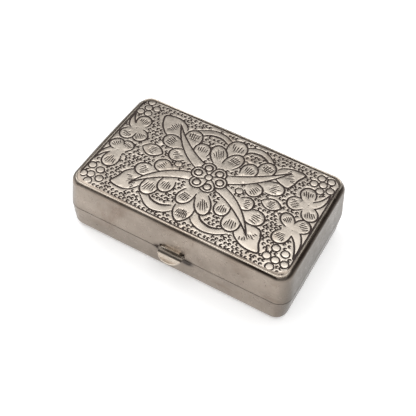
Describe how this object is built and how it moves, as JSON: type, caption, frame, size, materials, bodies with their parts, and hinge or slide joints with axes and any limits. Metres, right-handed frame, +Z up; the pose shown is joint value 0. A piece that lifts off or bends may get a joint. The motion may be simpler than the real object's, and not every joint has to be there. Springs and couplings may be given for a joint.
{
  "type": "needle case",
  "caption": "Small rectangular metal needle case with a hinged engraved lid, a half-round thumbpiece, a velvet bed and flannel leaves inside.",
  "frame": {"origin": "centre of the flat underside, where the closed case stands on a table", "axes": "+Z up, -Y to the front where the thumbpiece is, +Y to the hinge, X along the long side"},
  "size_m": [0.07, 0.0446, 0.0203],
  "materials": {
    "silver": "worn satin silver",
    "engraved_silver": "engraved, with dark tarnish in the cuts",
    "pin_steel": "drawn wire",
    "card": "plain",
    "velvet": "short pile",
    "flannel": "soft napped wool"
  },
  "bodies": {
    "base": {"base_tray": "silver", "base_collar": "silver", "catch_bead": "silver", "base_hinge_bearer": "silver", "base_knuckle_left": "silver", "base_knuckle_centre": "silver", "base_knuckle_right": "silver", "hinge_pin": "pin_steel", "bed_card": "card", "velvet_bed": "velvet", "flannel_leaf_lower": "flannel", "flannel_leaf_upper": "flannel", "leaf_strip": "silver"},
    "lid": {"lid_band": "silver", "lid_plate": "engraved_silver", "border_wire": "silver", "lid_hinge_bearer": "silver", "lid_knuckle_left": "silver", "lid_knuckle_right": "silver", "thumbpiece": "silver", "lining_card": "card", "lid_lining": "velvet"}
  },
  "joints": [
    {"name": "lid_hinge", "type": "hinge", "parent": "base", "child": "lid", "pos_m": [0, 0.0197, 0.0091], "axis": [-1, 0, 0], "range_deg": [0, 100]}
  ]
}
